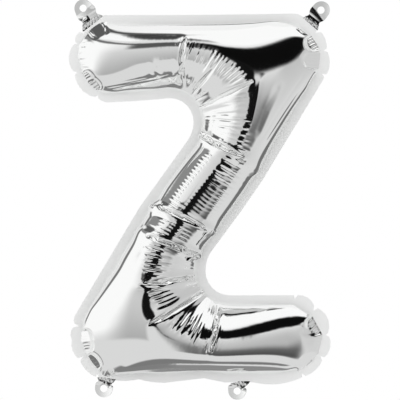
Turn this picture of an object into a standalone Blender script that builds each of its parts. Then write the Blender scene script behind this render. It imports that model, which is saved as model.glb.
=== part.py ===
"""Letter Z foil balloon, air filled, 330 mm tall without its hanging tabs.

Two film panels are sealed to a flat scalloped margin that carries four hanging tabs.
The frame has X to the right, Y to the back and Z up. The seam lies in the plane Y = 0,
and the origin is the middle of the letter.
"""
import math

import bmesh
import bpy
from mathutils import Vector

MM = 0.001

# Film, written thicker than the real 0.04 mm so that each piece is a solid
PANEL_FILM = 1.2 * MM
SEAM_FILM = 1.0 * MM
GAP = 0.3 * MM
PANEL_STAND_OFF = SEAM_FILM / 2 + GAP

# The inflated letter. A rib as wide as the tube is half an ellipse, and a wider one,
# across a bend, is slimmer at its sides.
TUBE_WIDTH = 62.0 * MM
SLIMMER_PER_METRE = 8.5
SKIRT = 2.5 * MM
SEAM_OVERLAP = 3.5 * MM
SECTION_SEGMENTS = 6

# The hanging tabs
TAB_RING_RADIUS = 7.8 * MM
TAB_HOLE_RADIUS = 3.3 * MM
TAB_ARC_POINTS = 16

# Longest chord on the flat margin's arcs
ARC_CHORD = 6.0 * MM

# The margin, clockwise from the top arm's left end, in millimetres:
# outer edge x, z and bulge to the next row, then seam x, z and bulge to the next row.
# A bulge is the height of the arc over its chord, positive away from the letter.
MARGIN_ROWS = (
    (-85.4, 163.3, -0.5, -86.3, 156.6, -0.4),
    (82.3, 164.6, 1.1, 81.0, 157.3, 0.4),
    (92.1, 161.7, 0.0, 89.4, 154.6, 0.0),
    (105.7, 150.4, 2.7, 99.2, 145.1, 0.3),
    (113.1, 132.3, 3.8, 107.1, 131.7, 0.4),
    (111.2, 107.7, 0.0, 104.0, 112.6, 0.0),
    (56.1, 16.5, 0.0, 49.9, 20.1, 0.0),
    (36.4, -12.0, 0.0, 30.5, -8.0, 0.0),
    (12.6, -44.1, -2.0, 6.8, -40.0, -2.3),
    (5.3, -64.1, -6.3, -1.9, -64.1, -8.4),
    (26.3, -86.2, 0.0, 26.3, -93.4, 0.0),
    (85.9, -86.1, 3.8, 85.4, -93.2, 0.4),
    (102.4, -96.4, 6.1, 97.0, -101.5, 0.9),
    (114.2, -120.4, 4.6, 107.1, -120.2, 0.7),
    (109.7, -142.8, 3.0, 103.2, -138.8, 0.5),
    (92.4, -158.5, 4.1, 87.7, -152.5, 1.3),
    (47.6, -163.5, 0.0, 48.1, -156.4, 0.0),
    (22.7, -163.7, 0.0, 22.2, -156.4, 0.0),
    (4.0, -159.9, 0.0, 4.0, -153.0, 0.0),
    (-30.7, -163.9, 0.9, -30.7, -156.7, 0.5),
    (-53.8, -160.8, 0.7, -53.8, -153.9, 0.4),
    (-73.0, -162.2, 0.0, -73.0, -154.8, 0.0),
    (-92.1, -159.1, 2.2, -88.6, -152.0, 0.4),
    (-106.8, -143.5, 2.8, -101.4, -139.5, 0.4),
    (-113.7, -125.9, 2.4, -106.7, -125.0, 0.3),
    (-111.0, -112.9, 1.1, -104.9, -113.1, 0.2),
    (-111.0, -104.2, 0.0, -104.6, -107.1, 0.0),
    (-53.3, -7.6, 0.0, -47.3, -11.3, 0.0),
    (-10.9, 51.2, -1.3, -5.0, 47.2, -1.7),
    (-5.3, 67.2, -6.5, 1.9, 67.2, -8.5),
    (-26.3, 89.4, 0.5, -26.3, 96.5, 0.4),
    (-83.2, 85.6, 0.7, -84.5, 93.2, 0.3),
    (-91.7, 90.0, 5.3, -89.8, 96.0, 0.8),
    (-111.2, 111.4, 5.6, -104.6, 113.7, 0.9),
    (-110.6, 138.6, 2.6, -105.3, 135.7, 0.3),
    (-104.6, 149.1, 0.0, -99.0, 145.5, 0.0),
)

# Ribs across the letter, from the top arm's left end to the bottom arm's right end:
# place on the upper and on the lower side of the seam, as rows of the margin and
# fractions of the way to the next one, then how far the film stands off the seam at the
# rib's middle, in millimetres, and the share of it that is lost beside the inside of a
# bend: towards the lower side where it is above 0, towards the upper side below 0.
RIBS = (
    (34.00, 33.00, 0.0, 0.0),
    (34.90, 32.30, 9.5, 0.0),
    (35.65, 31.60, 13.5, 0.0),
    (0.10, 30.75, 19.0, 0.0),
    (0.22, 30.45, 22.5, 0.15),
    (0.33, 30.15, 24.5, 0.25),
    (0.40, 29.92, 26.0, 0.30),
    (0.43, 29.83, 25.0, 0.35),
    (0.46, 29.76, 27.0, 0.35),
    (0.55, 29.69, 28.5, 0.40),
    (0.68, 29.61, 31.5, 0.40),
    (0.80, 29.53, 33.5, 0.30),
    (0.92, 29.46, 34.5, 0.20),
    (2.00, 29.36, 35.0, 0.0),
    (3.00, 29.26, 35.5, -0.10),
    (4.00, 29.15, 35.5, -0.15),
    (5.00, 29.03, 35.0, 0.0),
    (5.22, 28.87, 34.0, 0.0),
    (5.44, 28.72, 33.0, 0.10),
    (5.66, 28.62, 31.5, 0.15),
    (5.86, 28.55, 31.0, 0.15),
    (5.96, 28.50, 28.5, 0.30),
    (6.05, 28.42, 31.0, 0.0),
    (6.40, 28.02, 30.0, 0.0),
    (6.85, 27.72, 29.5, 0.0),
    (7.30, 27.38, 29.5, 0.0),
    (7.65, 27.10, 27.0, 0.0),
    (7.80, 26.99, 30.0, 0.0),
    (8.15, 26.92, 30.5, 0.0),
    (8.42, 26.87, 30.5, 0.0),
    (8.50, 26.84, 27.5, -0.20),
    (8.58, 26.80, 31.0, -0.20),
    (8.76, 26.62, 31.5, -0.20),
    (8.90, 26.35, 33.5, -0.15),
    (9.03, 26.00, 34.5, 0.10),
    (9.15, 25.00, 35.0, 0.10),
    (9.26, 24.00, 35.0, 0.10),
    (9.36, 23.00, 34.5, 0.10),
    (9.46, 22.00, 34.0, 0.05),
    (9.55, 21.10, 33.0, -0.10),
    (9.64, 20.20, 32.0, -0.30),
    (9.72, 19.30, 30.0, -0.40),
    (9.78, 18.40, 27.5, -0.50),
    (9.82, 17.90, 23.5, -0.50),
    (9.88, 17.45, 25.0, -0.50),
    (10.12, 16.95, 24.0, -0.35),
    (10.40, 16.30, 22.5, -0.15),
    (10.75, 15.80, 20.0, 0.0),
    (11.60, 15.40, 16.0, 0.0),
    (12.30, 14.75, 9.5, 0.0),
    (13.00, 14.00, 0.0, 0.0),
)

# Hanging tabs: name, middle of the ring, and the two corners of the root on the margin,
# in millimetres, the root's corners clockwise round the letter
TABS = (
    ("hanging_tab_top_left", (-103.7, 169.5), (-104.6, 149.1), (-85.4, 163.3)),
    ("hanging_tab_top_right", (108.1, 167.8), (92.1, 161.7), (105.7, 150.4)),
    ("hanging_tab_bottom_middle", (33.4, -171.3), (44.6, -163.5), (25.2, -163.7)),
    ("hanging_tab_bottom_left", (-85.3, -169.1), (-74.5, -162.0), (-92.1, -159.1)),
)


def remove_scene_objects():
    for scene_object in list(bpy.data.objects):
        bpy.data.objects.remove(scene_object, do_unlink=True)


def foil_material(name, grey, roughness):
    """Vacuum-metallised film."""
    material = bpy.data.materials.new(name)
    material.use_nodes = True
    shader = material.node_tree.nodes["Principled BSDF"]
    shader.inputs["Base Color"].default_value = (grey, grey, grey, 1.0)
    shader.inputs["Metallic"].default_value = 1.0
    shader.inputs["Roughness"].default_value = roughness
    return material


def arc_points(start, end, bulge, chord):
    """Points from start up to, but without, end, along an arc of the given height."""
    if not bulge:
        return [start.copy()]
    span = end - start
    count = max(1, math.ceil(span.length / chord))
    outward = Vector((-span.y, span.x)).normalized()
    radius = (span.length ** 2 / 4 + bulge ** 2) / (2 * abs(bulge))
    side = math.copysign(1.0, bulge)
    centre = (start + end) / 2 + outward * side * (abs(bulge) - radius)
    first = start - centre
    last = end - centre
    turn = first.angle_signed(last)
    points = []
    for step in range(count):
        angle = -turn * step / count
        spoke = Vector((
            first.x * math.cos(angle) - first.y * math.sin(angle),
            first.x * math.sin(angle) + first.y * math.cos(angle),
        ))
        points.append(centre + spoke)
    return points


def row_point(row, column):
    values = MARGIN_ROWS[row % len(MARGIN_ROWS)]
    return Vector(values[column:column + 2]) * MM


def margin_loop(column):
    """Closed outline of the margin's outer edge (column 0) or of its seam (column 3)."""
    points = []
    for row, values in enumerate(MARGIN_ROWS):
        start = row_point(row, column)
        end = row_point(row + 1, column)
        points += arc_points(start, end, values[column + 2] * MM, ARC_CHORD)
    return points


def seam_point(place):
    """Point of the seam at a row and a fraction of the way to the next one."""
    row = int(place)
    fraction = place - row
    start = row_point(row, 3)
    end = row_point(row + 1, 3)
    bulge = MARGIN_ROWS[row % len(MARGIN_ROWS)][5] * MM
    if not bulge:
        return start.lerp(end, fraction)
    span = end - start
    outward = Vector((-span.y, span.x)).normalized()
    height = bulge * 4 * fraction * (1 - fraction)
    return start.lerp(end, fraction) + outward * height


def moved_inward(points, distance):
    """The closed clockwise outline, each corner moved towards the inside."""
    moved = []
    for index, point in enumerate(points):
        before = points[index - 1]
        after = points[(index + 1) % len(points)]
        along = (after - before).normalized()
        moved.append(point + Vector((along.y, -along.x)) * distance)
    return moved


def flat_plate(name, loops, thickness, collection, material):
    """A plate in the seam's plane, with the first loop as outline and the rest as holes."""
    curve = bpy.data.curves.new(name, "CURVE")
    curve.dimensions = "2D"
    curve.fill_mode = "BOTH"
    curve.extrude = thickness / 2
    for loop in loops:
        spline = curve.splines.new("POLY")
        spline.points.add(len(loop) - 1)
        for spline_point, point in zip(spline.points, loop):
            spline_point.co = (point.x, point.y, 0.0, 1.0)
        spline.use_cyclic_u = True
    curve.materials.append(material)
    plate = bpy.data.objects.new(name, curve)
    plate.rotation_euler.x = math.radians(90)
    collection.objects.link(plate)
    return plate


def rib_points(upper, lower, height, loss):
    """An arch from the upper to the lower side, standing on a short skirt."""
    width = (lower - upper).length
    slimness = 1.0 + max(0.0, width - TUBE_WIDTH) * SLIMMER_PER_METRE
    arch = max(0.0, height - SKIRT - PANEL_STAND_OFF) / (1 - abs(loss) / 4)
    points = [(upper, 0.0)]
    for step in range(SECTION_SEGMENTS + 1):
        angle = math.pi * step / SECTION_SEGMENTS
        across = (1 - math.cos(angle)) / 2
        from_outside = across if loss > 0 else 1 - across
        rise = arch * max(0.0, math.sin(angle)) ** slimness * (1 - abs(loss) * from_outside ** 2)
        points.append((upper.lerp(lower, across), SKIRT + rise))
    points.append((lower, 0.0))
    return points


def film_panel(name, side, collection, material):
    """Front (side -1) or back (side +1) film: ribs lofted along the letter, as a shell."""
    rim = side * PANEL_STAND_OFF
    cage = bmesh.new()
    rows = []
    for upper_place, lower_place, middle_height, loss in RIBS:
        upper = seam_point(upper_place)
        lower = seam_point(lower_place)
        row = []
        for place, height in rib_points(upper, lower, middle_height * MM, loss):
            row.append(cage.verts.new((place.x, rim + side * height, place.y)))
        rows.append(row)
    for end_row in (rows[0], rows[-1]):
        foot = []
        for vert in end_row[1:-1]:
            foot.append(cage.verts.new((vert.co.x, rim, vert.co.z)))
        feet = [end_row[0]] + foot + [end_row[-1]]
        if end_row is rows[0]:
            rows.insert(0, feet)
        else:
            rows.append(feet)
    for row, after in zip(rows, rows[1:]):
        for index in range(len(row) - 1):
            corners = []
            for corner in (row[index], after[index], after[index + 1], row[index + 1]):
                if corner not in corners:
                    corners.append(corner)
            cage.faces.new(corners if side < 0 else corners[::-1])
    mesh = bpy.data.meshes.new(name)
    cage.to_mesh(mesh)
    cage.free()
    mesh.materials.append(material)
    mesh.shade_smooth()
    panel = bpy.data.objects.new(name, mesh)
    collection.objects.link(panel)
    subdivision = panel.modifiers.new("soft film", "SUBSURF")
    subdivision.levels = 1
    subdivision.render_levels = 1
    thickness = panel.modifiers.new("film thickness", "SOLIDIFY")
    thickness.thickness = PANEL_FILM
    thickness.offset = -1.0
    return panel


def tangent_point(outside, centre, radius, side):
    """Where the line from a point outside touches the circle, on the given side."""
    spoke = outside - centre
    angle = math.atan2(spoke.y, spoke.x) + side * math.acos(radius / spoke.length)
    return centre + Vector((math.cos(angle), math.sin(angle))) * radius


def circle_arc(centre, radius, start_angle, end_angle, count):
    points = []
    for step in range(count + 1):
        angle = start_angle + (end_angle - start_angle) * step / count
        points.append(centre + Vector((math.cos(angle), math.sin(angle))) * radius)
    return points


def hanging_tab(name, centre, root_start, root_end, collection, material):
    """A ring with a neck that widens to its root, just off the margin's edge."""
    centre = Vector(centre) * MM
    root_start = Vector(root_start) * MM
    root_end = Vector(root_end) * MM
    along = (root_end - root_start).normalized()
    outward = Vector((-along.y, along.x))
    root_start += outward * GAP
    root_end += outward * GAP
    left = tangent_point(root_start, centre, TAB_RING_RADIUS, -1)
    right = tangent_point(root_end, centre, TAB_RING_RADIUS, 1)
    left_angle = math.atan2(left.y - centre.y, left.x - centre.x)
    right_angle = math.atan2(right.y - centre.y, right.x - centre.x)
    while right_angle > left_angle:
        right_angle -= math.tau
    ring = circle_arc(centre, TAB_RING_RADIUS, left_angle, right_angle, TAB_ARC_POINTS)
    hole = circle_arc(centre, TAB_HOLE_RADIUS, 0.0, math.tau, TAB_ARC_POINTS)[:-1]
    outline = [root_start] + ring + [root_end]
    return flat_plate(name, (outline, hole), SEAM_FILM, collection, material)


def build_balloon():
    remove_scene_objects()
    collection = bpy.data.collections.new("letter foil balloon")
    bpy.context.scene.collection.children.link(collection)
    panel_foil = foil_material("silver foil", grey=0.86, roughness=0.08)
    margin_foil = foil_material("sealed silver foil", grey=0.80, roughness=0.22)

    film_panel("front_panel", -1, collection, panel_foil)
    film_panel("back_panel", 1, collection, panel_foil)
    outer_edge = margin_loop(0)
    inner_edge = moved_inward(margin_loop(3), SEAM_OVERLAP)
    flat_plate("seam_margin", (outer_edge, inner_edge), SEAM_FILM, collection, margin_foil)
    for name, centre, root_start, root_end in TABS:
        hanging_tab(name, centre, root_start, root_end, collection, margin_foil)


build_balloon()
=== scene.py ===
import math

import bmesh
import bpy
import numpy as np
from mathutils.geometry import delaunay_2d_cdt
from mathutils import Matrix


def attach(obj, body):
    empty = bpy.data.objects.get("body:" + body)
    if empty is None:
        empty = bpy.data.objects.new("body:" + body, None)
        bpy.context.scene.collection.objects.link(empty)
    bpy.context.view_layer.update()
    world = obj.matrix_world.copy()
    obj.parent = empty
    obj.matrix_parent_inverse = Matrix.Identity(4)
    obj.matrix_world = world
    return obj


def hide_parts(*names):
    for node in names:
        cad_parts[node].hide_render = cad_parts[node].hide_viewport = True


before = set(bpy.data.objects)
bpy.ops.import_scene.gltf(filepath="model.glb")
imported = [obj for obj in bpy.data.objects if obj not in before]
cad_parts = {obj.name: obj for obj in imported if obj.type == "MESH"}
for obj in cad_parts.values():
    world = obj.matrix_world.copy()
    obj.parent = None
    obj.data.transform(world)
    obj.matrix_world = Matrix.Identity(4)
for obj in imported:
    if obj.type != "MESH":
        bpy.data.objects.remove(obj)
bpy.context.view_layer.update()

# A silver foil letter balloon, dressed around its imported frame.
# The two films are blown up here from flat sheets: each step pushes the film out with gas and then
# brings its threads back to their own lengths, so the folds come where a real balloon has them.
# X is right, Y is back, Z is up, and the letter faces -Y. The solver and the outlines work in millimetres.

MM = 0.001

# The flat sheet, as it was cut: the middle stroke's width and lean, the sheet's size, the height of its arms
# at the notches and at their ends, how far the ends' outer corners rise, and the corners' radii
STROKE = 91.0
LEAN = math.radians(65.0)
FLAT_HEIGHT = 361.0
FLAT_WIDTH = 252.0
ARM = 83.0
ARM_END = 74.0
END_RISE = 1.5
END_RADIUS = 36.5
CORNER_RADIUS = 56.5
NOTCH_RADIUS = 31.0
OUTLINE_STEP = 2.0

# Limits that keep sums and meshes sound
TINY = 1e-12
SHORTEST_THREAD = 1e-9
LEAST_RIDGE = 1e-6
SAME_POINT = 1e-5

# The seal, its margin and the tabs. The seam lies SEAM_OVERLAP outside the CAD margin's inner edge, and a
# CAD face is taken as a front one when its normal's Y is at most FACES_FRONT.
SEAM_OVERLAP = 3.5
SEAM_STEP = 1.0
MARGIN_WIDTH = 7.0
MARGIN_THICKNESS = 0.3
MARGIN_GRID = 0.85
MARGIN_TUCK = 0.5
TAB_GRID = 0.45
TAB_THICKNESS = 0.45
SHARP_ANGLE = math.radians(60)
FACES_FRONT = -0.9

# The film as it is blown up: the length of its first threads, which are halved from stage to stage, and how
# far in front of the seam it starts. Each stage has its number of steps, how hard the gas pushes, the share
# of its speed that a step leaves, the sweeps over all threads in a step, and how stiffly the film resists
# bending. A low share apart lets it bunch up.
COARSE_THREAD = 7.2
START_DEPTH = 0.5
FREE_STAGES = [
    dict(steps=200, push=0.3, keep=0.9, sweeps=4, bending=0.1),
    dict(steps=100, push=0.05, keep=0.9, sweeps=8, bending=0.1),
]
SEAM_STAGE = dict(steps=60, push=0.05, keep=0.9, sweeps=8, bending=0.1, apart=0.05)
HALVED_STAGE = dict(steps=60, push=0.05, keep=0.9, sweeps=8, bending=0.1, apart=0.03)
QUARTERED_STAGE = dict(steps=40, push=0.02, keep=0.9, sweeps=8, bending=0.05, apart=0.5)
FINEST_STAGES = [
    dict(steps=20, push=0.008, keep=0.9, sweeps=6, bending=0.05),
    dict(steps=20, push=0.003, keep=0.8, sweeps=6, bending=0.05),
]

# Creases across the film: a line of x and z, how hard it is drawn in, and the share of film gathered into it
CREASES = [
    ([(-14.7, 136.6), (-16.5, 87.7)], 1.0, 0.20),
    ([(13.8, 123.3), (-2.2, 90.3)], 0.6, 0.12),
    ([(41.4, 101.9), (4.9, 82.3)], 0.8, 0.16),
    ([(52.1, 23.6), (28.9, 41.4), (1.3, 55.6)], 1.5, 0.32),
    ([(-44.1, -5.8), (-17.4, -14.7), (12.0, -29.8)], 1.5, 0.28),
    ([(-54.7, -28.9), (-26.3, -40.5), (1.3, -51.2)], 1.5, 0.28),
    ([(-52.1, -78.8), (-26.3, -72.5), (-3.1, -69.0)], 1.0, 0.20),
    ([(-42.3, -109.0), (-21.8, -97.5), (1.3, -84.1)], 0.8, 0.16),
    ([(11.1, -130.4), (14.7, -112.6), (16.5, -91.2)], 1.2, 0.24),
    ([(-39.6, 110.8), (-29.8, 95.7)], 0.4, 0.10),
]
HALVED_CREASE_WIDTH = 3.6
QUARTERED_CREASE_WIDTH = 2.0
GATHER_WIDTH = 3.5

# Rows of fine puckers: the line that they follow, its half width, and the share of film gathered along it
RIPPLES = [
    ([(-4.0, 130.4), (13.8, 121.5), (28.9, 110.8), (38.7, 98.3)], 7.0, 0.07),
    ([(36.0, 89.4), (38.7, 71.6), (37.8, 52.1)], 5.0, 0.06),
    ([(20.0, 87.7), (23.6, 69.9), (21.8, 52.1)], 8.0, 0.04),
    ([(9.0, 36.0), (-4.5, 18.0), (-20.5, -4.0)], 5.0, 0.045),
    ([(31.6, 22.0), (24.0, 8.0), (13.0, -8.0)], 4.0, 0.025),
    ([(-8.5, -20.9), (-17.4, -36.9)], 5.0, 0.04),
    ([(-40.5, -39.6), (-41.4, -59.2), (-39.6, -78.8)], 7.0, 0.055),
    ([(-35.2, -81.4), (-21.8, -94.8)], 8.0, 0.06),
    ([(-24.5, -103.7), (-8.5, -115.3), (7.6, -124.2)], 9.0, 0.07),
]

# The seam's turns round the letter's four ends, counterclockwise from the front
SEAM_ENDS = [
    [(-83.2, 157.7), (-88.5, 156.6), (-94.9, 152.5), (-98.4, 149.3), (-100.0, 145.7), (-107.7, 137.1),
     (-108.8, 124.7), (-105.0, 112.3), (-99.0, 101.9), (-89.0, 94.1), (-84.1, 93.4)],
    [(-104.1, -109.9), (-105.6, -119.7), (-105.8, -127.7), (-101.5, -138.4), (-96.1, -146.8),
     (-89.8, -153.7), (-85.0, -158.3), (-78.8, -158.9), (-71.6, -157.1), (-62.7, -155.1)],
    [(86.8, -154.1), (90.1, -153.5), (106.0, -138.4), (109.8, -121.5), (99.6, -103.1), (83.7, -93.0),
     (79.7, -93.0)],
    [(104.4, 109.9), (106.0, 112.8), (108.0, 131.9), (98.6, 146.4), (89.4, 154.6)],
]

# Gathered facets between the notches: the two ends of each on the seam, how far in its arched ridge reaches,
# how steeply it rises to the ridge, and how deep its wrinkles are. Each dies away towards its ends, over the
# share FACET_ENDS of its length, and past its ridge, over FACET_FADE.
FACETS = [
    ((-85.0, 157.1), (-99.4, 146.0), 8.0, 0.86, 0.05),
    ((-105.0, 112.6), (-89.0, 93.9), 5.8, 1.05, 0.16),
    ((108.0, 131.9), (98.6, 146.4), 7.1, 0.76, 0.23),
    ((106.0, 113.0), (108.0, 131.9), 13.5, 0.96, 0.04),
    ((-105.3, -115.3), (-101.0, -138.4), 8.0, 1.02, 0.12),
    ((-100.7, -138.4), (-89.8, -153.3), 5.8, 1.05, 0.03),
    ((-89.8, -153.7), (-78.8, -158.9), 4.0, 0.96, 0.03),
    ((109.8, -120.6), (99.6, -103.1), 8.0, 0.76, 0.23),
    ((106.0, -138.0), (109.8, -121.5), 5.5, 0.90, 0.06),
    ((90.1, -153.3), (106.0, -138.4), 5.3, 0.96, 0.16),
]
FACET_ENDS = 0.14
FACET_FADE = 5.0
FACET_WRINKLE_SPACING = 2.9
RIDGE_ROUNDNESS = 0.7

# How far a facet's finer threads reach past its ridge, and how far the seam bows out between its ends
FINER_REACH = 2.0
SEAM_BULGE = 3.0

# How the wrinkles stray from straight lines: how far and how often along the seam and on the way in to the
# ridge, and the shift from one facet to the next
STRAY_ALONG = (0.4, 0.9)
STRAY_INWARD = (0.7, 2.0)
STRAY_SHIFT = 1.7

# Lines along which the film lies smooth, with their half widths: beside the seam and on the middle stroke
CALM = [
    ([(-84.0, 157.0), (-8.5, 154.0), (90.0, 154.0)], 8.0),
    ([(-92.0, 93.0), (-45.0, 98.0), (-22.0, 98.0)], 11.0),
    ([(103.0, 112.0), (52.0, 30.0)], 10.0),
    ([(-56.0, -33.0), (-104.0, -113.0)], 9.0),
    ([(-76.0, -158.0), (20.0, -158.0), (89.0, -154.0)], 7.0),
    ([(30.0, -93.0), (83.0, -95.0)], 13.0),
    ([(16.0, 37.0), (-14.0, 0.0)], 3.5),
]
CALM_ROUNDS = 60
CALM_SHARE = 0.5

# Folds along the film, first thin ones and then broad, shallow ones: their line, width and depth. Each runs
# out at its ends, over one part in STREAK_ENDS of its length.
STREAKS = [
    ([(-88.0, 97.5), (-60.0, 102.0), (-38.0, 106.0), (-22.0, 110.5)], 0.9, 0.22),
    ([(-84.0, 100.6), (-60.0, 104.6), (-40.0, 108.6)], 0.9, 0.16),
    ([(99.0, 110.0), (76.0, 76.0), (54.0, 42.0)], 1.1, 0.42),
    ([(94.0, 112.0), (72.0, 80.0), (51.0, 47.0)], 1.1, 0.30),
    ([(72.0, 104.0), (58.0, 78.0), (49.0, 52.0)], 3.2, 0.40),
    ([(56.0, 110.0), (50.0, 84.0), (45.0, 58.0)], 2.2, -0.22),
    ([(33.0, 45.0), (11.0, 10.0), (-13.0, -23.0)], 6.5, 0.60),
    ([(47.0, 44.0), (26.0, 11.0), (0.0, -26.0)], 6.0, -0.90),
    ([(2.0, -106.0), (80.0, -102.0)], 8.0, -0.70),
    ([(2.0, -130.0), (90.0, -124.0)], 8.0, 0.60),
]
STREAK_ENDS = 7

# Notches round the ends: from the cusp in the margin's edge to the tip on the seam
NOTCHES = [
    ((-103.7, 147.7), (-100.6, 143.7)),
    ((-110.0, 138.4), (-108.1, 136.6)),
    ((-110.4, 112.6), (-105.5, 113.0)),
    ((-90.8, 90.3), (-89.4, 93.9)),
    ((-86.8, 160.2), (-85.9, 158.9)),
    ((105.9, 148.2), (98.3, 146.4)),
    ((114.2, 132.2), (107.9, 131.9)),
    ((111.7, 109.3), (106.0, 113.1)),
    ((-110.8, -113.5), (-103.8, -113.8)),
    ((-104.5, -141.1), (-100.7, -138.0)),
    ((-91.2, -157.7), (-89.8, -153.3)),
    ((85.6, -87.4), (83.7, -92.9)),
    ((102.8, -98.0), (99.6, -103.1)),
    ((114.6, -121.2), (109.8, -121.5)),
    ((109.1, -141.9), (106.0, -138.0)),
    ((92.0, -157.1), (90.1, -153.3)),
]
NOTCH_CUT = 0.5
NOTCH_OPENING = 1.7
NOTCH_FOLD = 0.14
NOTCH_FOLD_WIDTH = 1.2

# The margin's slight sway, as waves: height, how often along x and z, and shift
MARGIN_SWAY = 0.06
SWAY_WAVES = [(1.0, 0.11, 0.05, 1.0), (1.0, 0.07, -0.13, 0.0), (0.5, 0.31, 0.23, 0.0)]

# How each tab is bent: its neck's slope back towards the ring, how deep the neck's middle is folded in,
# and how far its ring leans to the left and down
TAB_BENDS = {
    "hanging_tab_top_left": (0.20, 0.22, 0.30, 0.12),
    "hanging_tab_top_right": (0.24, 0.0, 0.28, 0.14),
    "hanging_tab_bottom_middle": (0.05, 0.08, 0.36, -0.06),
    "hanging_tab_bottom_left": (-0.04, 0.10, 0.36, -0.06),
}
TAB_WAIST = 0.30
TAB_OVERLAP = 1.3

# Places on a tab, as shares of the way from its ring's middle to its foot: the middle and width of its
# waist, of its folded neck and of its crumpled foot, where the foot starts to stretch onto the margin and
# how far that takes, where the slope starts and how far it goes, and how the ring's lean dies away
WAIST_PLACE = (0.68, 0.22)
NECK_PLACE = (0.66, 0.20)
FOOT_PLACE = (0.88, 0.09)
STRETCH_PLACE = (0.85, 0.15)
SLOPE_PLACE = (0.9, 0.45)
LEAN_START = 1.3
LEAN_FALL = 2

# The crumpled foot: slanting steps, and a fainter zigzag across them
TAB_CRUMPLE = 0.75
CRUMPLE_SPACING = 3.1
CRUMPLE_SLANT = 0.35
CROSS_CRUMPLE = 0.12
CROSS_SPACING = 0.8 * CRUMPLE_SPACING
CROSS_SLANT = 0.4
RING_CURL = -0.009

# Camera and floor, in metres but for the sensor
CAMERA_DISTANCE = 2.5
VIEW_CENTRE = (0.0004, -0.0013)
VIEW_HEIGHT = 0.356
SENSOR = 36.0
FLOOR_HEIGHT = -0.30
FLOOR_RADIUS = 1.3
FLOOR_SIDES = 96
FLOOR_COLOUR = (0.85, 0.85, 0.85, 1)
FLOOR_ROUGHNESS = 0.8

# The foils: each one's roughness and how metallic it is, how far a fine grain spreads the roughness as
# factors of it, and the grain's scale
FOIL_COLOUR = (0.95, 0.955, 0.95, 1)
FOILS = {
    "silver_foil_film": (0.06, 1.0),
    "pressed_seal": (0.4, 0.2),
    "sealed_foil_film": (0.12, 1.0),
}
ROUGHNESS_SPREAD = (0.8, 1.2)
GRAIN_SCALE = 90.0

# The studio as the foil sees it: soft-edged panels on a pale ground, in degrees round and up from the
# camera. Each has its middle, its tilt, how far it reaches to the left, right, below and above its middle,
# the softness of those four edges, and its brightness at its lower and upper edge. Later ones hide earlier
# ones. The camera sees a plain backdrop instead, and dull surfaces are lit by an even soft light.
PALE_GROUND = 0.86
SOFT_LIGHT = 1.16
BACKDROP = 1.0
DISPLAY_GAMMA = 2.2
PANELS = {
    "ceiling": ((40, 90), 0, (62, 62, 47, 60), (4, 4, 5, 5), (1.0, 1.0)),
    "high back left": ((-155, 65), 0, (40, 35, 22, 30), (1, 6, 5, 3), (0.97, 0.97)),
    "high back right": ((140, 65), 0, (45, 45, 22, 30), (6, 1, 5, 3), (0.97, 0.97)),
    "left light": ((-78, 10), 0, (52, 48, 27, 27), (24, 18, 9, 4), (1.0, 1.0)),
    "high left light": ((-42, 52), 0, (18, 18, 10, 10), (4, 4, 3, 3), (1.0, 1.0)),
    "high left shade": ((-84, 54), 0, (30, 24, 14, 14), (6, 6, 4, 4), (0.36, 0.36)),
    "top rail": ((-75, 73), 0, (40, 32, 5, 5), (8, 6, 3, 3), (0.34, 0.34)),
    "side rail": ((-27, 59), -42, (22, 18, 5, 5), (5, 6, 3, 3), (0.26, 0.26)),
    "far left shade": ((-88, 37), -4, (26, 24, 5, 6), (6, 6, 2, 3), (0.54, 0.54)),
    "left rail": ((-42, 36), -10, (24, 30, 2.2, 2.2), (6, 6, 1.5, 1.5), (0.42, 0.42)),
    "left desk": ((-26, -5), -6, (16, 17, 25, 25), (14, 3, 2.5, 10), (0.68, 0.86)),
    "right desk": ((22, -15), 0, (14, 26, 28, 27), (4, 8, 2.5, 4), (0.44, 0.88)),
    "low rail": ((30, -28), 0, (18, 22, 13, 12), (5, 11, 4, 9), (0.30, 0.44)),
    "right shade": ((66, 4), 0, (16, 26, 8, 18), (8, 14, 8, 4), (0.84, 0.70)),
    "front post": ((-18, 26), 0, (6, 6, 8, 8), (3, 3, 4, 4), (0.34, 0.34)),
    "open front": ((32, 29), 3, (46, 70, 15, 11.5), (3, 5, 3, 3), (0.08, 0.08)),
    "right flag above": ((88, 52), -18, (30, 40, 12, 14), (6, 6, 3, 3), (1.0, 1.0)),
    "right flag below": ((95, 12), 26, (46, 40, 40, 20), (10, 6, 6, 3), (0.86, 0.76)),
    "camera stand": ((1.5, 1), 0, (9.5, 9.5, 15, 14), (2, 2, 2, 2), (0.10, 0.10)),
    "low left gap": ((-98, -38), 0, (14, 10, 8, 8), (4, 3, 3, 3), (0.46, 0.46)),
    "floor gap left": ((-125, -90), 0, (70, 59, 27, 27), (1, 6, 4, 2.5), (0.50, 0.50)),
    "floor gap front": ((0, -90), 0, (75, 70, 27, 19), (6, 8, 4, 2.5), (0.48, 0.48)),
    "floor gap right": ((152, -60), 0, (26, 29, 24, 30), (8, 1, 4, 4), (0.54, 0.54)),
    "left edge rail": ((-120, 24), 0, (6, 6, 18, 18), (3, 3, 6, 4), (0.44, 0.44)),
    "right edge rail": ((133, -23), 0, (15, 14, 13, 16), (3, 4, 4, 4), (0.44, 0.44)),
    "back opening right": ((165, 28), 0, (20, 40, 13, 14), (6, 1, 4, 4), (0.10, 0.10)),
    "back opening left": ((-172, 28), 0, (40, 5, 13, 14), (1, 4, 4, 4), (0.10, 0.10)),
    "back desk": ((150, -24), 0, (12, 16, 12, 20), (6, 5, 4, 8), (0.36, 0.66)),
    "back stand": ((178, -3), 0, (8, 40, 12, 14), (3, 1, 3, 3), (0.12, 0.12)),
    "back rail": ((-150, 36), 0, (14, 12, 3, 3), (5, 5, 2, 2), (0.42, 0.42)),
    "zenith": ((0, 90), 0, (400, 400, 12, 12), (5, 5, 3, 3), (1.0, 1.0)),
}


# Outlines

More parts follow.
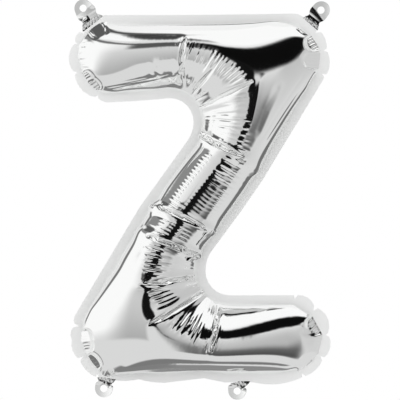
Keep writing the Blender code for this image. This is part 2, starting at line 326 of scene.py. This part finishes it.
def rounded_outline(corners, step):
    """A closed outline through corners, each with its own radius."""
    points = []
    for index, (corner, radius) in enumerate(corners):
        corner = np.array(corner)
        before = np.array(corners[index - 1][0]) - corner
        after = np.array(corners[(index + 1) % len(corners)][0]) - corner
        before /= np.linalg.norm(before)
        after /= np.linalg.norm(after)
        half = math.acos(before @ after) / 2
        bisector = before + after
        centre = corner + bisector / np.linalg.norm(bisector) * radius / math.sin(half)
        start = corner + before * radius / math.tan(half) - centre
        end = corner + after * radius / math.tan(half) - centre
        first = math.atan2(start[1], start[0])
        turn = (math.atan2(end[1], end[0]) - first + math.pi) % math.tau - math.pi
        count = max(2, int(abs(turn) * radius / step))
        for k in range(count + 1):
            angle = first + turn * k / count
            points.append(centre + radius * np.array([math.cos(angle), math.sin(angle)]))
    return np.array(points)


def flat_letter():
    """The outline of the flat sheet: half of it, and the same half turned round."""
    top = FLAT_HEIGHT / 2
    left = -FLAT_WIDTH / 2
    along = np.array([math.cos(LEAN), math.sin(LEAN)])
    across = np.array([along[1], -along[0]]) * STROKE / 2

    def on_edge(edge, z):
        return edge + along * (z - edge[1]) / along[1]

    end_low = np.array([left, top - ARM_END])
    end_high = np.array([left, top + END_RISE])
    corner = on_edge(across, top)
    notch = on_edge(-across, top - ARM)
    half = [(end_low, END_RADIUS), (end_high, END_RADIUS), (corner, CORNER_RADIUS), (-notch, NOTCH_RADIUS)]
    other = [(-point, radius) for point, radius in half]
    return rounded_outline(half + other, OUTLINE_STEP)


def resampled(loop, spacing):
    """The same closed loop with even steps."""
    closed = np.vstack([loop, loop[:1]])
    run = np.concatenate([[0.0], np.cumsum(np.linalg.norm(np.diff(closed, axis=0), axis=1))])
    count = int(round(run[-1] / spacing))
    places = np.arange(count) * run[-1] / count
    return np.column_stack([np.interp(places, run, closed[:, k]) for k in range(2)])


def inside(loop, points):
    """Which points lie inside a closed loop."""
    result = np.zeros(len(points), bool)
    for (x0, z0), (x1, z1) in zip(loop, np.roll(loop, -1, axis=0)):
        if z0 == z1:
            continue
        crosses = (z0 > points[:, 1]) != (z1 > points[:, 1])
        result ^= crosses & (points[:, 0] < (x1 - x0) * (points[:, 1] - z0) / (z1 - z0) + x0)
    return result


def distance_to(loop, points):
    """How far each point is from a closed loop."""
    nearest = np.full(len(points), np.inf)
    for start, end in zip(loop, np.roll(loop, -1, axis=0)):
        span = end - start
        along = np.clip((points - start) @ span / max(span @ span, TINY), 0, 1)
        nearest = np.minimum(nearest, np.linalg.norm(points - start - along[:, None] * span, axis=1))
    return nearest


def near_line(line, points):
    """How far each point is from an open line, and the line's direction there."""
    line = np.array(line)
    nearest = np.full(len(points), np.inf)
    direction = np.zeros((len(points), 2))
    for start, end in zip(line, line[1:]):
        span = end - start
        along = np.clip((points - start) @ span / (span @ span), 0, 1)
        away = np.linalg.norm(points - start - along[:, None] * span, axis=1)
        closer = away < nearest
        nearest[closer] = away[closer]
        direction[closer] = span / np.linalg.norm(span)
    return nearest, direction


def signed_area(loop):
    """The area inside a closed loop, positive when it runs counterclockwise."""
    following = np.roll(loop, -1, axis=0)
    return (loop[:, 0] * following[:, 1] - loop[:, 1] * following[:, 0]).sum() / 2


def moved_out(loop, distance):
    """The loop with each point moved outwards, square to the line through its neighbours."""
    tangent = np.roll(loop, -1, axis=0) - np.roll(loop, 1, axis=0)
    tangent /= np.linalg.norm(tangent, axis=1)[:, None]
    outward = np.column_stack([tangent[:, 1], -tangent[:, 0]]) * np.sign(signed_area(loop))
    return loop + outward * distance


def with_stretch(loop, stretch):
    """The loop with its run between the stretch's ends replaced by the stretch."""
    stretch = np.array(stretch)
    first = ((loop - stretch[0]) ** 2).sum(axis=1).argmin()
    last = ((loop - stretch[-1]) ** 2).sum(axis=1).argmin()
    kept = (last + np.arange((first - last) % len(loop))) % len(loop)
    return np.vstack([loop[kept], stretch])


def neighbours(pairs):
    """Each point's neighbours along pairs of points."""
    beside = {}
    for a, b in pairs:
        beside.setdefault(a, []).append(b)
        beside.setdefault(b, []).append(a)
    return beside


def walked_round(beside, start):
    """The points of a closed chain in order, from start to its first neighbour and on."""
    chain = [start, beside[start][0]]
    while True:
        first, second = beside[chain[-1]]
        following = second if first == chain[-2] else first
        if following == start:
            return chain
        chain.append(following)


def front_loops(node):
    """The edges of a flat CAD node's front face as closed loops of x and z, the longest first."""
    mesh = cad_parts[node].data
    places = {}
    uses = {}
    for face in mesh.polygons:
        if face.normal.y > FACES_FRONT:
            continue
        keys = []
        for index in face.vertices:
            x, _, z = mesh.vertices[index].co / MM
            key = (round(x, 2), round(z, 2))
            places[key] = (x, z)
            keys.append(key)
        for a, b in zip(keys, keys[1:] + keys[:1]):
            edge = (min(a, b), max(a, b))
            uses[edge] = uses.get(edge, 0) + 1
    beside = neighbours([edge for edge, count in uses.items() if count == 1])
    loops = []
    while beside:
        chain = walked_round(beside, min(beside))
        for key in chain:
            del beside[key]
        loops.append(np.array([places[key] for key in chain]))
    return sorted(loops, key=lambda loop: -np.ptp(loop, axis=0).sum())


def lattice_between(loops, spacing, clearance):
    """The points of an even lattice inside the first loop and outside the others, clear of them all."""
    outer = loops[0]
    low = outer.min(axis=0) - spacing
    high = outer.max(axis=0) + spacing
    rows = []
    for row, z in enumerate(np.arange(low[1], high[1], spacing * math.sqrt(3) / 2)):
        x = np.arange(low[0], high[0], spacing) + spacing / 2 * (row % 2)
        rows.append(np.column_stack([x, np.full(len(x), z)]))
    lattice = np.vstack(rows)
    kept = inside(outer, lattice)
    for hole in loops[1:]:
        kept &= ~inside(hole, lattice)
    lattice = lattice[kept]
    for loop in loops:
        lattice = lattice[distance_to(loop, lattice) > clearance * spacing]
    return lattice


def filled_loops(loops, spacing, clearance=0.6):
    """A triangle mesh over the area between closed loops, on a lattice with even threads."""
    lattice = lattice_between(loops, spacing, clearance)
    edges = []
    start = 0
    for loop in loops:
        count = len(loop)
        edges += [(start + k, start + (k + 1) % count) for k in range(count)]
        start += count
    places = [tuple(place) for place in np.vstack(list(loops) + [lattice])]
    verts, _, faces, _, _, _ = delaunay_2d_cdt(places, edges, [], 1, SAME_POINT)
    flat = np.array([tuple(v) for v in verts])
    faces = np.array(faces)
    middles = flat[faces].mean(axis=1)
    for hole in loops[1:]:
        faces = faces[~inside(hole, middles)]
        middles = flat[faces].mean(axis=1)
    a, b, c = flat[faces[:, 0]], flat[faces[:, 1]], flat[faces[:, 2]]
    turn = (b - a)[:, 0] * (c - a)[:, 1] - (b - a)[:, 1] * (c - a)[:, 0]
    faces[turn < 0] = faces[turn < 0][:, ::-1]
    return flat, faces


# The film

def face_sides(faces):
    """The two points of each face's sides, the lower first, and one number for each pair."""
    pairs = np.vstack([faces[:, [0, 1]], faces[:, [1, 2]], faces[:, [2, 0]]])
    pairs.sort(axis=1)
    return pairs, pairs[:, 0].astype(np.int64) << 32 | pairs[:, 1]


def edge_table(faces):
    """The mesh's edges, which edge each face side is, and how many faces use it."""
    pairs, keys = face_sides(faces)
    _, first, inverse, uses = np.unique(keys, return_index=True, return_inverse=True, return_counts=True)
    return pairs[first], inverse, uses


def across_edges(faces):
    """The two points that face each other across every inner edge."""
    _, keys = face_sides(faces)
    opposite = np.concatenate([faces[:, 2], faces[:, 0], faces[:, 1]])
    order = np.argsort(keys, kind="stable")
    same = np.nonzero(keys[order][1:] == keys[order][:-1])[0]
    return np.column_stack([opposite[order[same]], opposite[order[same + 1]]])


def independent_groups(pairs, flat):
    """Groups of links that share no point, so that each group can move at once."""
    taken = [0] * len(flat)
    group_of = np.empty(len(pairs), int)
    for index, (a, b) in enumerate(pairs.tolist()):
        busy = taken[a] | taken[b]
        group = 0
        while busy >> group & 1:
            group += 1
        taken[a] |= 1 << group
        taken[b] |= 1 << group
        group_of[index] = group
    lengths = np.linalg.norm(flat[pairs[:, 0]] - flat[pairs[:, 1]], axis=1).astype(np.float32)
    groups = []
    for group in range(group_of.max() + 1):
        chosen = group_of == group
        groups.append((pairs[chosen, 0].copy(), pairs[chosen, 1].copy(), lengths[chosen]))
    return groups


class Seam:
    """The sealed line that the film's rim is held on, read by the length run along it."""

    def __init__(self, loop, spacing=0.25):
        self.points = resampled(loop, spacing)
        self.step = np.linalg.norm(self.points[1] - self.points[0])
        self.length = self.step * len(self.points)

    def at(self, run):
        """The places at these runs."""
        place = run / self.step
        index = np.floor(place).astype(int)
        part = (place - index)[:, None]
        count = len(self.points)
        return self.points[index % count] * (1 - part) + self.points[(index + 1) % count] * part

    def nearest(self, where):
        """The runs at which the seam comes nearest to these places."""
        return np.array([((self.points - place) ** 2).sum(axis=1).argmin() for place in where]) * self.step


class Film:
    """A sheet that keeps its own lengths: flat is how it was cut, place is where it is now."""

    def __init__(self, flat, faces, place):
        self.flat = flat
        self.faces = faces
        self.place = place.astype(np.float32)
        self.speed = np.zeros_like(self.place)
        pairs, _, uses = edge_table(faces)
        rim_pairs = pairs[uses == 1].tolist()
        self.rim = np.array(walked_round(neighbours(rim_pairs), rim_pairs[0][0]))
        self.links = independent_groups(pairs, flat)
        self.stiffeners = independent_groups(across_edges(faces), flat)
        self.seam = None

    def normals(self):
        """The film's normal at each point."""
        a, b, c = (self.place[self.faces[:, k]] for k in range(3))
        face_normals = np.cross(b - a, c - a)
        total = np.zeros(self.place.shape)
        for corner in range(3):
            for axis in range(3):
                total[:, axis] += np.bincount(self.faces[:, corner], face_normals[:, axis], len(total))
        return (total / (np.linalg.norm(total, axis=1)[:, None] + TINY)).astype(np.float32)

    def pull(self, groups, together, apart):
        """Brings threads to their lengths: long ones by the share together, short ones by apart."""
        place = self.place
        for a, b, length in groups:
            gap = place[b] - place[a]
            now = np.sqrt(np.einsum("ij,ij->i", gap, gap)) + SHORTEST_THREAD
            share = 0.5 * (now - length) / now
            share *= np.where(share > 0, together, apart)
            gap *= share[:, None].astype(np.float32)
            place[a] += gap
            place[b] -= gap

    def hold_rim(self):
        """Keeps the film in front of the seam's plane and its rim in it, on the seam once it has one."""
        self.place[:, 1] = np.minimum(self.place[:, 1], 0)
        self.place[self.rim, 1] = 0
        if self.seam is not None:
            self.place[self.rim, 0], self.place[self.rim, 2] = self.on_seam

    def inflate(self, steps, push, keep, sweeps, bending, apart=1.0, load=1.0):
        """Blows the film out by small steps; keep is the share of its speed that each step leaves.

        With a low apart the film may bunch up, so it takes its smooth shape before it puckers.
        """
        for _ in range(steps):
            before = self.place.copy()
            self.speed *= keep
            self.speed += push * (self.normals().T * load).T
            self.place += self.speed
            for _ in range(sweeps):
                self.pull(self.links, 1.0, apart)
                self.pull(self.stiffeners, 0.0, bending)
                self.hold_rim()
            self.speed = self.place - before

    def hold_on(self, seam, run):
        """Fixes the rim's points at these runs along the seam."""
        self.seam = seam
        self.run = run
        self.on_seam = seam.at(run).T.astype(np.float32)

    def attach(self, seam, passes=6):
        """Each rim point gets its own place on the seam: the nearest one, evened out along the rim."""
        run = np.unwrap(seam.nearest(self.place[self.rim][:, [0, 2]]), period=seam.length)
        count = len(run)
        turns = round((run[-1] - run[0]) / seam.length)
        drift = turns * seam.length * np.arange(count) / count
        off = run - drift
        for _ in range(passes):
            off = (np.roll(off, 1) + 2 * off + np.roll(off, -1)) / 4
        self.hold_on(seam, (off + drift) % seam.length)

    def finer(self):
        """The same film with threads half as long."""
        pairs, inverse, uses = edge_table(self.faces)
        count = len(self.faces)
        middle = len(self.flat) + np.arange(len(pairs))
        flat = np.vstack([self.flat, self.flat[pairs].mean(axis=1)])
        place = np.vstack([self.place, self.place[pairs].mean(axis=1)])
        a, b, c = middle[inverse[:count]], middle[inverse[count:2 * count]], middle[inverse[2 * count:]]
        old = self.faces
        faces = np.vstack([
            np.column_stack([old[:, 0], a, c]),
            np.column_stack([old[:, 1], b, a]),
            np.column_stack([old[:, 2], c, b]),
            np.column_stack([a, b, c]),
        ])
        film = Film(flat, faces, place)
        run_of = dict(zip(self.rim.tolist(), self.run))
        on_rim = uses == 1
        middle_of = dict(zip(map(tuple, pairs[on_rim].tolist()), middle[on_rim].tolist()))
        for a, b in zip(self.rim.tolist(), np.roll(self.rim, -1).tolist()):
            first, last = np.unwrap([run_of[a], run_of[b]], period=self.seam.length)
            run_of[middle_of[(min(a, b), max(a, b))]] = (first + last) / 2 % self.seam.length
        film.hold_on(self.seam, np.array([run_of[vertex] for vertex in film.rim.tolist()]))
        return film

    def crease_load(self, width):
        """The gas's push, weaker along the creases and drawing inwards on the hardest ones."""
        where = self.place[:, [0, 2]].astype(float)
        load = np.ones(len(where), np.float32)
        for line, drawn_in, _ in CREASES:
            away, _ = near_line(line, where)
            load -= (drawn_in * np.exp(-(away / width) ** 2)).astype(np.float32)
        return load

    def gather(self, ripples):
        """Lets the threads be longer, across each crease and along each of the given ripples."""
        longer = []
        for a, b, length in self.links:
            middle = (self.place[a] + self.place[b])[:, [0, 2]].astype(float) / 2
            gap = (self.place[b] - self.place[a]).astype(float)
            gap = (gap / np.linalg.norm(gap, axis=1)[:, None])[:, [0, 2]]
            extra = np.zeros(len(a))
            for line, _, share in CREASES:
                away, tangent = near_line(line, middle)
                across = 1 - (gap * tangent).sum(axis=1) ** 2
                extra += share * np.exp(-(away / GATHER_WIDTH) ** 2) * across
            for line, half_width, share in ripples:
                away, tangent = near_line(line, middle)
                along = (gap * tangent).sum(axis=1) ** 2
                extra += share * np.exp(-(away / half_width) ** 4) * along
            longer.append((a, b, (length * (1 + extra)).astype(np.float32)))
        self.links = longer


def level(film, loop, rounds=40):
    """Turns and moves the film so that its rim best meets the seam."""
    target = resampled(loop, OUTLINE_STEP)
    start = film.place[film.rim][:, [0, 2]].astype(float)
    middle = start.mean(axis=0)
    turn = np.eye(2)
    shift = target.mean(axis=0) - middle
    for _ in range(rounds):
        moved = (start - middle) @ turn.T + middle + shift
        near = target[((moved[:, None] - target[None]) ** 2).sum(axis=2).argmin(axis=1)]
        u, _, v = np.linalg.svd((start - middle).T @ (near - near.mean(axis=0)))
        turn = v.T @ u.T
        shift = near.mean(axis=0) - middle
    film.place[:, [0, 2]] = (film.place[:, [0, 2]] - middle) @ turn.T + middle + shift
    film.speed[:, [0, 2]] = film.speed[:, [0, 2]] @ turn.T


def inflated_film(seam_loop):
    """The front film, blown up from coarse to fine threads."""
    flat, faces = filled_loops([resampled(flat_letter(), COARSE_THREAD)], COARSE_THREAD)
    place = np.column_stack([flat[:, 0], np.full(len(flat), -START_DEPTH), flat[:, 1]])
    film = Film(flat, faces, place)
    for stage in FREE_STAGES:
        film.inflate(**stage)
    level(film, seam_loop)
    film.attach(Seam(seam_loop))
    film.inflate(**SEAM_STAGE)
    film = film.finer()
    film.inflate(**HALVED_STAGE, load=film.crease_load(HALVED_CREASE_WIDTH))
    film = film.finer()
    film.gather([])
    film.inflate(**QUARTERED_STAGE, load=film.crease_load(QUARTERED_CREASE_WIDTH))
    film = film.finer()
    film.gather(RIPPLES)
    for stage in FINEST_STAGES:
        film.inflate(**stage)
    return film


# Shaping on the blown-up film

def smooth(part):
    """An even part from 0 to 1, made to start and stop gently."""
    return part * part * (3 - 2 * part)


def calmed(film):
    """The film's places with its puckers evened out along the calm lines."""
    places = film.place.astype(float)
    points = places[:, [0, 2]]
    share = np.zeros(len(places))
    for line, half_width in CALM:
        away, _ = near_line(line, points)
        share = np.maximum(share, np.exp(-(away / half_width) ** 4))
    pairs, _, uses = edge_table(film.faces)
    share[pairs[uses == 1]] = 0
    ends = np.concatenate([pairs[:, 0], pairs[:, 1]])
    others = np.concatenate([pairs[:, 1], pairs[:, 0]])
    count = np.bincount(ends, minlength=len(places))
    for _ in range(CALM_ROUNDS):
        for axis in range(3):
            mean = np.bincount(ends, places[others, axis], len(places)) / count
            places[:, axis] += CALM_SHARE * share * (mean - places[:, axis])
    return places


def streaked(places):
    """The places with the folds along the film pressed in or drawn out."""
    points = places[:, [0, 2]]
    for line, width, depth in STREAKS:
        away, _ = near_line(line, points)
        first, last = np.array(line[0]), np.array(line[-1])
        along = (points - first) @ (last - first) / ((last - first) @ (last - first))
        ends = np.clip(STREAK_ENDS * along, 0, 1) * np.clip(STREAK_ENDS * (1 - along), 0, 1)
        places[:, 1] += depth * ends * np.exp(-(away / width) ** 2)
    return places


def facet_part(facet, seam, points):
    """The points over a facet and its fade, and for each: its run, its distance from the seam, the ridge's
    distance from the seam there, and how far it is from the facet's ends (0 at them, 1 between).
    """
    start, end, reach = facet[:3]
    start = np.array(start)
    span = np.array(end) - start
    length = np.linalg.norm(span)
    along = span / length
    run = (points - start) @ along
    away = (points - start) @ np.array([-along[1], along[0]])
    over = np.nonzero((run > 0) & (run < length) & (away > -SEAM_BULGE) & (away < reach + FACET_FADE))[0]
    run = run[over]
    share = run / length
    ridge = reach * (4 * share * (1 - share)) ** RIDGE_ROUNDNESS
    between = np.clip(np.minimum(share, 1 - share) / FACET_ENDS, 0, 1)
    return over, run, distance_to(seam, points[over]), ridge, smooth(between)


def split_over_facets(seam, places, faces):
    """Halves the threads over the facets."""
    mesh = bpy.data.meshes.new("split")
    mesh.from_pydata(np.asarray(places, float).tolist(), [], faces.tolist())
    fine = bmesh.new()
    fine.from_mesh(mesh)
    bpy.data.meshes.remove(mesh)
    near = np.zeros(len(places), bool)
    for facet in FACETS:
        over, _, away, ridge, _ = facet_part(facet, seam, places[:, [0, 2]].astype(float))
        near[over[away < ridge + FINER_REACH]] = True
    edges = [edge for edge in fine.edges if near[edge.verts[0].index] and near[edge.verts[1].index]]
    bmesh.ops.subdivide_edges(fine, edges=edges, cuts=1, use_grid_fill=True)
    bmesh.ops.triangulate(fine, faces=fine.faces[:])
    fine.verts.index_update()
    places = np.array([vert.co[:] for vert in fine.verts])
    faces = np.array([[vert.index for vert in face.verts] for face in fine.faces])
    fine.free()
    return places, faces


def dented(seam, places, faces):
    """The film with each facet flattened to a slope from the seam to its ridge, and wrinkled."""
    places, faces = split_over_facets(seam, places, faces)
    points = places[:, [0, 2]].copy()
    for index, facet in enumerate(FACETS):
        steepness, wrinkle = facet[3:]
        over, run, away, ridge, between = facet_part(facet, seam, points)
        depth = places[over, 1]
        flat = -steepness * away
        fade = np.clip((away - ridge) / FACET_FADE, 0, 1)
        hold = between * (1 - smooth(fade))
        within = np.clip(away / np.maximum(ridge, LEAST_RIDGE), 0, 1)
        stray = STRAY_ALONG[0] * np.sin(run * STRAY_ALONG[1] + index)
        stray += STRAY_INWARD[0] * np.sin(within * STRAY_INWARD[1] + index * STRAY_SHIFT)
        waves = np.cos(math.tau * (run + stray) / FACET_WRINKLE_SPACING)
        swell = between * np.sin(math.pi * within) ** 0.5
        places[over, 1] = depth + (flat - depth) * hold + wrinkle * swell * waves
    return places, faces


# Pieces

def piece(name, places, faces, material, node):
    """A mesh piece, given in millimetres, that stands for a CAD node."""
    mesh = bpy.data.meshes.new(name)
    mesh.from_pydata((np.asarray(places) * MM).tolist(), [], np.asarray(faces).tolist())
    mesh.materials.append(material)
    mesh.shade_smooth()
    made = bpy.data.objects.new(name, mesh)
    bpy.context.scene.collection.objects.link(made)
    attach(made, "root")
    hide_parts(node)
    return made


def give_thickness(made, thickness):
    """Turns a sheet into a thin solid, the same amount to each side."""
    solid = made.modifiers.new("thickness", "SOLIDIFY")
    solid.thickness = thickness * MM
    solid.offset = 0
    depsgraph = bpy.context.evaluated_depsgraph_get()
    mesh = bpy.data.meshes.new_from_object(made.evaluated_get(depsgraph))
    mesh.set_sharp_from_angle(angle=SHARP_ANGLE)
    made.modifiers.clear()
    made.data = mesh


def zigzag(run, spacing):
    """Sharp folds between -1 and 1."""
    return np.abs((run / spacing) % 1.0 - 0.5) * 4 - 1


def bump(value, middle, width):
    """A soft bump, 1 at the middle."""
    return np.exp(-((value - middle) / width) ** 2)


def sealed_line(inner):
    """The line that the films are sealed on: the margin's inner edge moved out, with its ends' own turns."""
    line = moved_out(resampled(inner, SEAM_STEP), SEAM_OVERLAP)
    if signed_area(line) < 0:
        line = line[::-1]
    for stretch in SEAM_ENDS:
        line = with_stretch(resampled(line, SEAM_STEP), stretch)
    return line


def notched(outer):
    """The margin's edge, cut in at each notch."""
    outer = resampled(outer, MARGIN_GRID / 2)
    for cusp, tip in NOTCHES:
        nearest = outer[((outer - cusp) ** 2).sum(axis=1).argmin()].copy()
        away = np.linalg.norm(outer - nearest, axis=1)
        share = NOTCH_CUT * np.clip(1 - away / NOTCH_OPENING, 0, 1)
        outer += share[:, None] * (np.array(tip) - nearest)
    return outer


def seal_margin(outer, seam, material):
    """The seal round the films: nearly flat, folded at its notches."""
    inner = moved_out(seam, -MARGIN_TUCK)
    flat, faces = filled_loops([notched(outer), resampled(inner, MARGIN_GRID)], MARGIN_GRID)
    from_seam = np.clip(distance_to(seam, flat) / MARGIN_WIDTH, 0, 1)
    x, z = flat.T
    sway = sum(height * np.sin(by_x * x + by_z * z + shift) for height, by_x, by_z, shift in SWAY_WAVES)
    y = MARGIN_SWAY * sway * from_seam
    for cusp, tip in NOTCHES:
        away, _ = near_line([cusp, tip], flat)
        y += NOTCH_FOLD * bump(away, 0, NOTCH_FOLD_WIDTH) * from_seam
    places = np.column_stack([x, y, z])
    made = piece("seal_margin", places, faces, material, "seam_margin")
    give_thickness(made, MARGIN_THICKNESS)


def foot_middle(outline):
    """The middle of a tab's longest side, by which it joins the margin."""
    sides = np.linalg.norm(np.roll(outline, -1, axis=0) - outline, axis=1)
    return (outline[sides.argmax()] + outline[(sides.argmax() + 1) % len(outline)]) / 2


def crumpled(x, z):
    """The height of a tab's crumpled foot."""
    steps = 0.5 - (x + CRUMPLE_SLANT * z) / CRUMPLE_SPACING % 1.0
    return steps + CROSS_CRUMPLE * zigzag(z - CROSS_SLANT * x, CROSS_SPACING)


def hanging_tab(node, material):
    """A tab with its ring: its neck is drawn in, bent and crumpled, and its foot laps onto the margin."""
    outline, hole = front_loops(node)
    flat, faces = filled_loops([resampled(outline, TAB_GRID), resampled(hole, TAB_GRID)], TAB_GRID)
    centre = hole.mean(axis=0)
    foot = foot_middle(outline)
    length = np.linalg.norm(foot - centre)
    down = (foot - centre) / length
    across = np.array([-down[1], down[0]])
    run = (flat - centre) @ down
    side = (flat - centre) @ across
    place = run / length
    side *= 1 - TAB_WAIST * bump(place, *WAIST_PLACE)
    run += TAB_OVERLAP * np.clip((place - STRETCH_PLACE[0]) / STRETCH_PLACE[1], 0, 1)
    slope, fold, lean_left, lean_down = TAB_BENDS[node]
    x, z = (centre + run[:, None] * down + side[:, None] * across).T
    y = TAB_CRUMPLE * bump(place, *FOOT_PLACE) * crumpled(x, z)
    y += slope * np.clip(SLOPE_PLACE[0] * length - run, 0, SLOPE_PLACE[1] * length)
    y -= fold * np.abs(side) * bump(place, *NECK_PLACE)
    to_right, up = x - centre[0], z - centre[1]
    on_ring = np.clip(LEAN_START - LEAN_FALL * place, 0, 1)
    y += on_ring * (RING_CURL * to_right ** 2 - lean_left * to_right - lean_down * up)
    places = np.column_stack([x, y, z])
    made = piece(node.replace("hanging_", "foil_"), places, faces, material, node)
    give_thickness(made, TAB_THICKNESS)


# Materials

def foil_material(name):
    """Foil whose roughness varies a little with a fine grain."""
    roughness, metallic = FOILS[name]
    material = bpy.data.materials.new(name)
    material.use_nodes = True
    nodes = material.node_tree.nodes
    links = material.node_tree.links
    shader = nodes["Principled BSDF"]
    shader.inputs["Metallic"].default_value = metallic
    noise = nodes.new("ShaderNodeTexNoise")
    noise.inputs["Scale"].default_value = GRAIN_SCALE
    coordinates = nodes.new("ShaderNodeTexCoord")
    links.new(coordinates.outputs["Object"], noise.inputs["Vector"])
    span = nodes.new("ShaderNodeMapRange")
    span.inputs["To Min"].default_value = roughness * ROUGHNESS_SPREAD[0]
    span.inputs["To Max"].default_value = roughness * ROUGHNESS_SPREAD[1]
    links.new(noise.outputs["Fac"], span.inputs["Value"])
    links.new(span.outputs["Result"], shader.inputs["Roughness"])
    shader.inputs["Base Color"].default_value = FOIL_COLOUR
    return material


# Studio

def make_camera():
    """The camera, straight ahead and far enough off to show the letter nearly without perspective."""
    data = bpy.data.cameras.new("camera")
    data.sensor_width = SENSOR
    data.lens = SENSOR * CAMERA_DISTANCE / VIEW_HEIGHT
    camera = bpy.data.objects.new("camera", data)
    camera.location = (VIEW_CENTRE[0], -CAMERA_DISTANCE, VIEW_CENTRE[1])
    camera.rotation_euler = (math.pi / 2, 0, 0)
    bpy.context.scene.collection.objects.link(camera)
    bpy.context.scene.camera = camera


def make_floor():
    """A round pale floor below the picture, which the foil doesn't mirror."""
    mesh = bpy.data.meshes.new("floor")
    rim = bmesh.new()
    bmesh.ops.create_circle(rim, cap_ends=True, radius=FLOOR_RADIUS, segments=FLOOR_SIDES)
    rim.to_mesh(mesh)
    rim.free()
    material = bpy.data.materials.new("floor")
    material.use_nodes = True
    shader = material.node_tree.nodes["Principled BSDF"]
    shader.inputs["Base Color"].default_value = FLOOR_COLOUR
    shader.inputs["Roughness"].default_value = FLOOR_ROUGHNESS
    mesh.materials.append(material)
    floor = bpy.data.objects.new("floor", mesh)
    floor.location = (0, 0, FLOOR_HEIGHT)
    floor.visible_glossy = False
    bpy.context.scene.collection.objects.link(floor)


class Sums:
    """Short words for the math nodes of one node tree."""

    MIX_PART, MIX_FIRST, MIX_SECOND = 0, 2, 3

    def __init__(self, tree):
        self.nodes = tree.nodes
        self.links = tree.links

    def feed(self, node, name, value):
        """Gives a node's input, found by name or number, a value or another node's output."""
        if isinstance(value, bpy.types.NodeSocket):
            self.links.new(value, node.inputs[name])
        else:
            node.inputs[name].default_value = value

    def math(self, operation, *values):
        """The result of an operation on values."""
        node = self.nodes.new("ShaderNodeMath")
        node.operation = operation
        for index, value in enumerate(values):
            self.feed(node, index, value)
        return node.outputs[0]

    def spread(self, value, start, end, first, second, interpolation="LINEAR"):
        """A change from first to second while the value goes from start to end."""
        node = self.nodes.new("ShaderNodeMapRange")
        node.interpolation_type = interpolation
        self.feed(node, "Value", value)
        node.inputs["From Min"].default_value = start
        node.inputs["From Max"].default_value = end
        node.inputs["To Min"].default_value = first
        node.inputs["To Max"].default_value = second
        return node.outputs["Result"]

    def between(self, value, reach, soft):
        """1 from minus the first reach to the second, with soft edges."""
        above = self.spread(value, -reach[0] - soft[0], -reach[0] + soft[0], 0.0, 1.0, "SMOOTHSTEP")
        below = self.spread(value, reach[1] - soft[1], reach[1] + soft[1], 1.0, 0.0, "SMOOTHSTEP")
        return self.math("MULTIPLY", above, below)

    def mixed(self, part, first, second):
        """The first value where the part is 0, and the second where it is 1."""
        node = self.nodes.new("ShaderNodeMix")
        self.feed(node, self.MIX_PART, part)
        self.feed(node, self.MIX_FIRST, first)
        self.feed(node, self.MIX_SECOND, second)
        return node.outputs[0]


def make_world():
    """The studio that the foil mirrors, behind a plain white backdrop."""
    world = bpy.data.worlds.new("studio")
    bpy.context.scene.world = world
    world.use_nodes = True
    tree = world.node_tree
    tree.nodes.clear()
    sums = Sums(tree)
    direction = tree.nodes.new("ShaderNodeTexCoord")
    split = tree.nodes.new("ShaderNodeSeparateXYZ")
    tree.links.new(direction.outputs["Generated"], split.inputs[0])
    x, y, z = split.outputs
    per_radian = 180 / math.pi
    round_by = sums.math("MULTIPLY", sums.math("ARCTAN2", x, sums.math("MULTIPLY", y, -1.0)), per_radian)
    up_by = sums.math("MULTIPLY", sums.math("ARCSINE", z), per_radian)
    brightness = PALE_GROUND
    for (middle_round, middle_up), tilt, reach, soft, (low, high) in PANELS.values():
        cos, sin = math.cos(math.radians(tilt)), math.sin(math.radians(tilt))
        a = sums.math("SUBTRACT", round_by, middle_round)
        b = sums.math("SUBTRACT", up_by, middle_up)
        along = sums.math("ADD", sums.math("MULTIPLY", a, cos), sums.math("MULTIPLY", b, sin))
        across = sums.math("SUBTRACT", sums.math("MULTIPLY", b, cos), sums.math("MULTIPLY", a, sin))
        part = sums.between(along, reach[:2], soft[:2])
        part = sums.math("MULTIPLY", part, sums.between(across, reach[2:], soft[2:]))
        panel = low if low == high else sums.spread(across, -reach[2], reach[3], low, high)
        brightness = sums.mixed(part, brightness, panel)
    light = sums.math("POWER", brightness, DISPLAY_GAMMA)
    path = tree.nodes.new("ShaderNodeLightPath")
    lit = sums.mixed(path.outputs["Is Diffuse Ray"], light, SOFT_LIGHT)
    shown = sums.mixed(path.outputs["Is Camera Ray"], lit, BACKDROP)
    background = tree.nodes.new("ShaderNodeBackground")
    tree.links.new(shown, background.inputs["Color"])
    output = tree.nodes.new("ShaderNodeOutputWorld")
    tree.links.new(background.outputs[0], output.inputs[0])


# The scene

make_camera()
make_floor()
make_world()
bpy.context.scene.view_settings.view_transform = "Standard"

foil, pressed, sealed = (foil_material(name) for name in FOILS)

outer_loop, inner_loop = front_loops("seam_margin")
seam_loop = sealed_line(inner_loop)
film = inflated_film(seam_loop)
film_places, film_faces = dented(seam_loop, streaked(calmed(film)), film.faces)
piece("front_film", film_places, film_faces, foil, "front_panel")
piece("back_film", film_places * (1, -1, 1), film_faces[:, ::-1], foil, "back_panel")
seal_margin(outer_loop, seam_loop, pressed)
for tab in ("top_left", "top_right", "bottom_middle", "bottom_left"):
    hanging_tab("hanging_tab_" + tab, sealed)
